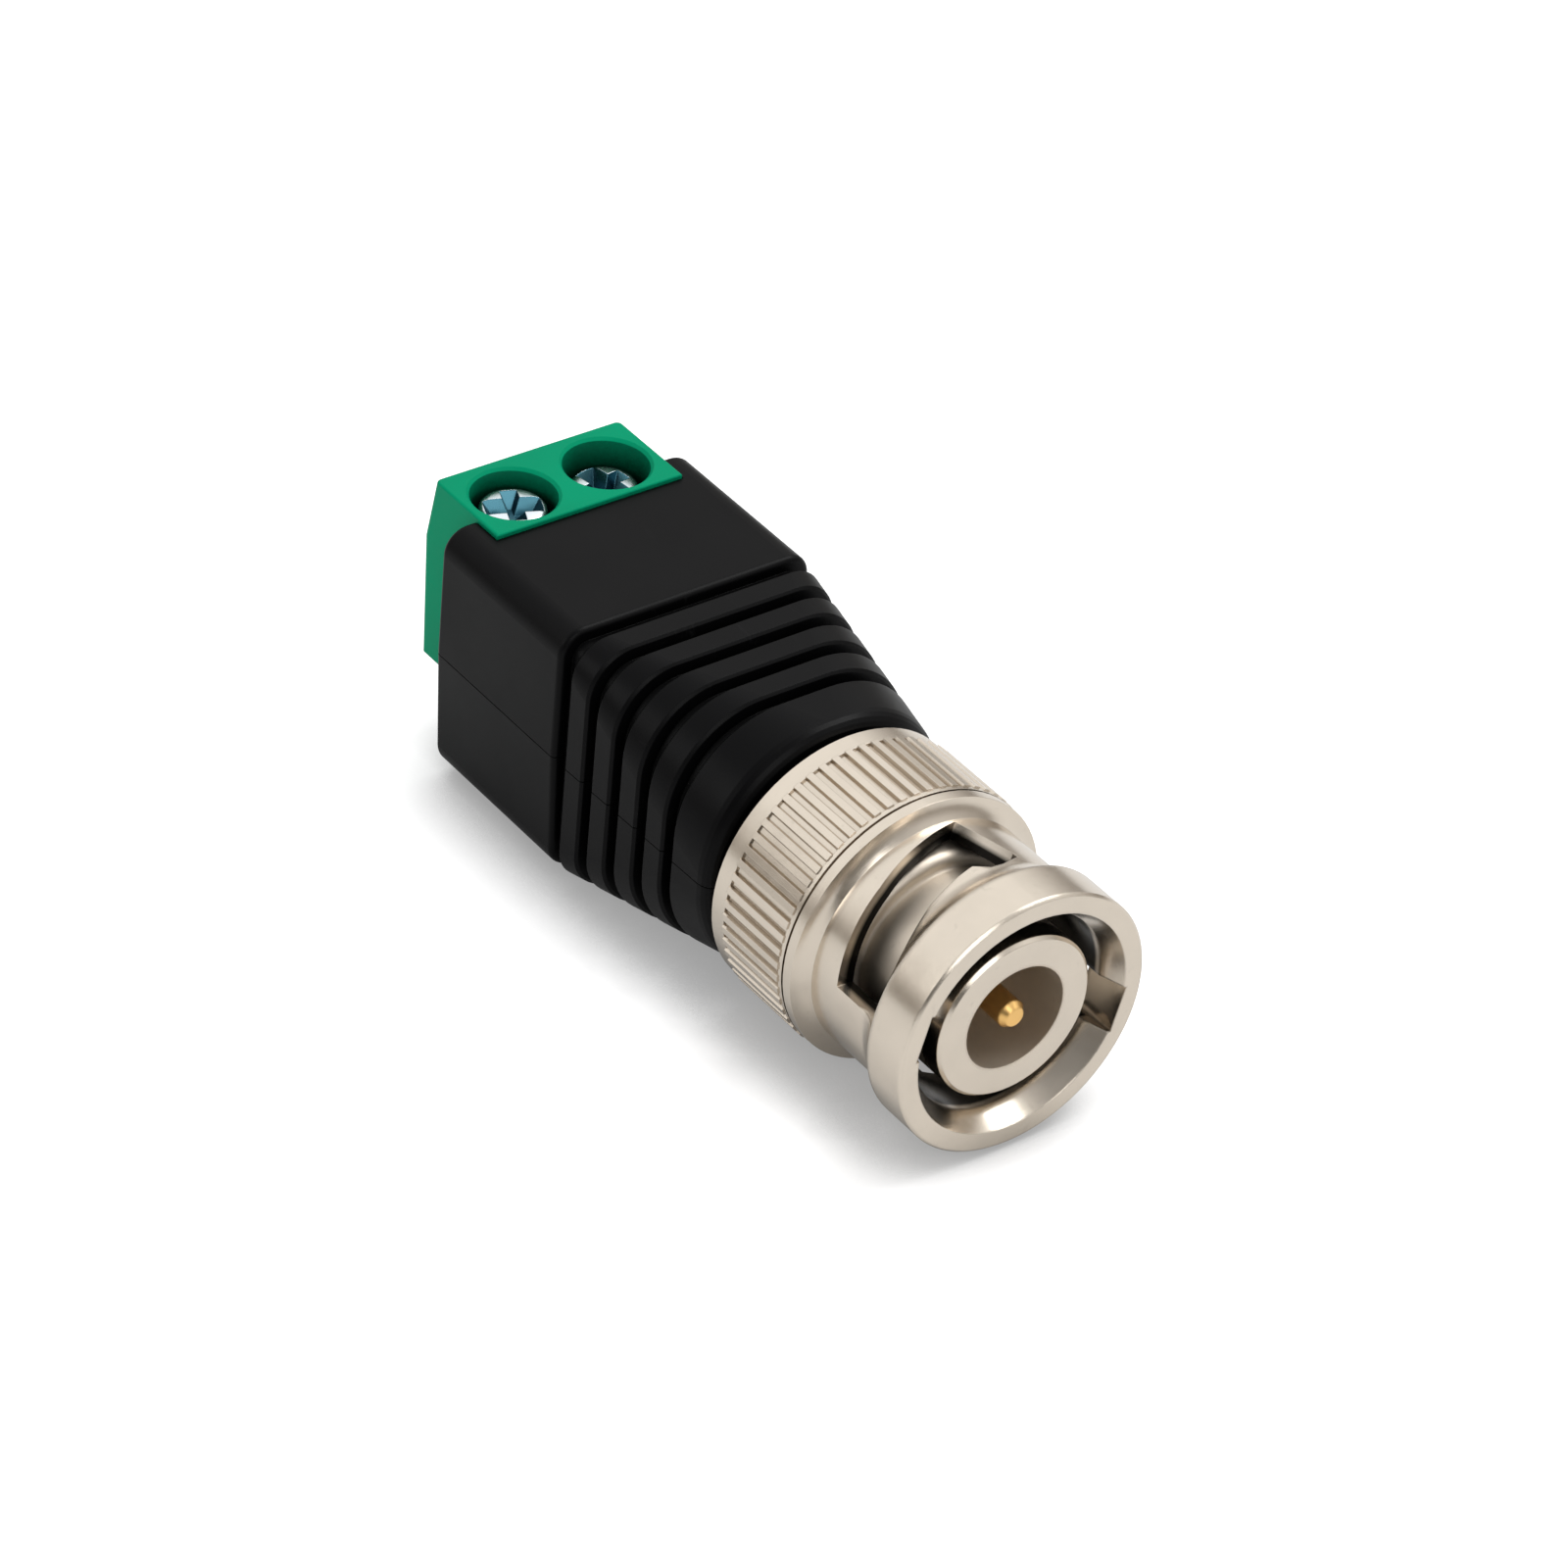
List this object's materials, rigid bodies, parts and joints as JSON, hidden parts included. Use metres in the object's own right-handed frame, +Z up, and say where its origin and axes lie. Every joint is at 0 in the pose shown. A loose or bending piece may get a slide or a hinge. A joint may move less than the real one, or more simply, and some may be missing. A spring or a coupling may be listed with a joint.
{
  "type": "video balun",
  "caption": "Video balun: bayonet coaxial plug with a free coupling nut, ribbed black housing and a green screw terminal block for a twisted pair.",
  "frame": {"origin": "on the plug's axis, at the front face of the outer contact sleeve, which is the plug's mating plane", "axes": "+X along the plug's axis, out of its mouth; +Z up, the way the terminal screws' heads face; +Y to the left when looking along +X"},
  "size_m": [0.0388, 0.0136, 0.0138],
  "materials": {
    "black_plastic": "satin black moulded plastic",
    "green_plastic": "satin green moulded plastic",
    "nickel_plate": "nickel-plated brass, warm satin grey",
    "gold_plate": "gold-plated brass",
    "zinc_plate": "zinc-plated steel, faintly blue",
    "tinned_metal": "tin-plated brass",
    "spring_steel": "plain spring steel",
    "white_plastic": "off-white insulating plastic",
    "board_laminate": "green solder mask",
    "ferrite": "dark grey sintered ferrite",
    "copper_wire": "bare and enamelled copper",
    "solder": "bright solder"
  },
  "bodies": {
    "plug_and_housing": {"plug_body": "nickel_plate", "insulator": "white_plastic", "centre_pin": "gold_plate", "retaining_bush": "nickel_plate", "wave_spring": "spring_steel", "upper_shell": "black_plastic", "lower_shell": "black_plastic", "terminal_block": "green_plastic", "contact_frame_left": "tinned_metal", "contact_frame_right": "tinned_metal", "circuit_board": "board_laminate", "ferrite_core": "ferrite", "copper_winding": "copper_wire", "centre_lead": "copper_wire", "ground_lead": "copper_wire", "solder_joints": "solder"},
    "washer": {"thrust_washer": "spring_steel"},
    "nut": {"coupling_nut": "nickel_plate"},
    "plate_left": {"pressure_plate_left": "tinned_metal"},
    "screw_left": {"terminal_screw_left": "zinc_plate"},
    "plate_right": {"pressure_plate_right": "tinned_metal"},
    "screw_right": {"terminal_screw_right": "zinc_plate"}
  },
  "joints": [
    {"name": "nut_float", "type": "slide", "parent": "plug_and_housing", "child": "washer", "axis": [1, 0, 0], "range_m": [0, 0.0006], "stiffness_N_per_m": 1500, "springref_m": -0.0006, "deforming": ["wave_spring"]},
    {"name": "nut_spin", "type": "hinge", "parent": "washer", "child": "nut", "pos_m": [0, 0, 0], "axis": [1, 0, 0], "continuous": true},
    {"name": "clamp_slide_left", "type": "slide", "parent": "plug_and_housing", "child": "plate_left", "axis": [0, 0, 1], "range_m": [-0.0016, 0.0004]},
    {"name": "screw_turn_left", "type": "hinge", "parent": "plate_left", "child": "screw_left", "pos_m": [-0.03496, -0.00254, 0], "axis": [0, 0, 1], "range_deg": [-1281, 321]},
    {"name": "clamp_slide_right", "type": "slide", "parent": "plug_and_housing", "child": "plate_right", "axis": [0, 0, 1], "range_m": [-0.00115, 0.00085]},
    {"name": "screw_turn_right", "type": "hinge", "parent": "plate_right", "child": "screw_right", "pos_m": [-0.03496, 0.00254, 0], "axis": [0, 0, 1], "range_deg": [-921, 681]}
  ],
  "couplings": [
    {"joint": "screw_turn_left", "follows": "clamp_slide_left", "rad_per_m": 13963},
    {"joint": "screw_turn_right", "follows": "clamp_slide_right", "rad_per_m": 13963}
  ]
}
